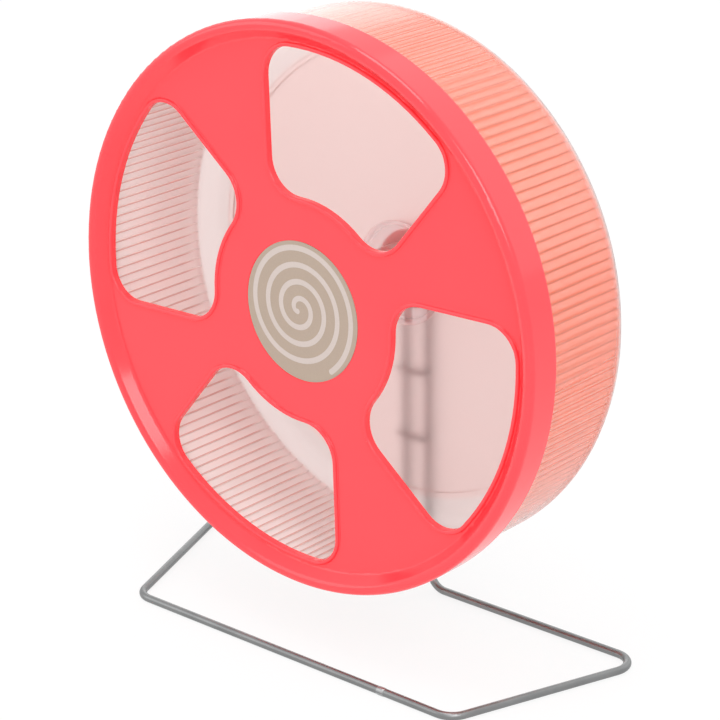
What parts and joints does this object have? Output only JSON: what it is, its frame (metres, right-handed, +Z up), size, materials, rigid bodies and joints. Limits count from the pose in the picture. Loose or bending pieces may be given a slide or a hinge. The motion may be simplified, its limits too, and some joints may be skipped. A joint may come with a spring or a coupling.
{
  "type": "rodent exercise wheel",
  "caption": "Closed-back exercise wheel for rodents: a ribbed clear drum with a windowed front cover, turning on a single-sided axle held by a bent wire floor stand.",
  "frame": {"origin": "on the floor under the middle of the whole width and depth", "axes": "+Z up, the axle along Y, the windowed face towards -Y, +X to the right seen from the front"},
  "size_m": [0.28, 0.1146, 0.3156],
  "materials": {
    "coral_plastic": "glossy moulded",
    "clear_pink_plastic": "glossy, see-through",
    "label_film": "printed film",
    "nylon": "satin",
    "grey_wire": "satin grey coating",
    "zinc_steel": "zinc plated",
    "bearing_steel": "ground and polished"
  },
  "bodies": {
    "stand": {"stand_wire": "grey_wire", "upper_cross_wire": "grey_wire", "lower_cross_wire": "grey_wire", "axle_block_front": "coral_plastic", "axle_block_rear": "coral_plastic", "clamp_screws": "zinc_steel", "clamp_nuts": "zinc_steel", "axle_bolt": "zinc_steel", "lock_nut": "zinc_steel", "axle_washer": "zinc_steel", "bearing_spacer": "zinc_steel", "front_bearing_inner_ring": "bearing_steel", "rear_bearing_inner_ring": "bearing_steel"},
    "ball_sets": {"front_bearing_balls": "bearing_steel", "front_bearing_cage": "nylon", "rear_bearing_balls": "bearing_steel", "rear_bearing_cage": "nylon"},
    "wheel": {"front_cover": "coral_plastic", "drum": "clear_pink_plastic", "spiral_label": "label_film", "hub_plug": "coral_plastic", "front_bearing_outer_ring": "bearing_steel", "rear_bearing_outer_ring": "bearing_steel"}
  },
  "joints": [
    {"name": "wheel_spin", "type": "hinge", "parent": "stand", "child": "wheel", "pos_m": [0, 0, 0.1756], "axis": [0, 1, 0], "continuous": true},
    {"name": "ball_orbit", "type": "hinge", "parent": "stand", "child": "ball_sets", "pos_m": [0, 0, 0.1756], "axis": [0, 1, 0], "continuous": true}
  ],
  "couplings": [
    {"joint": "ball_orbit", "follows": "wheel_spin", "ratio": 0.632}
  ]
}
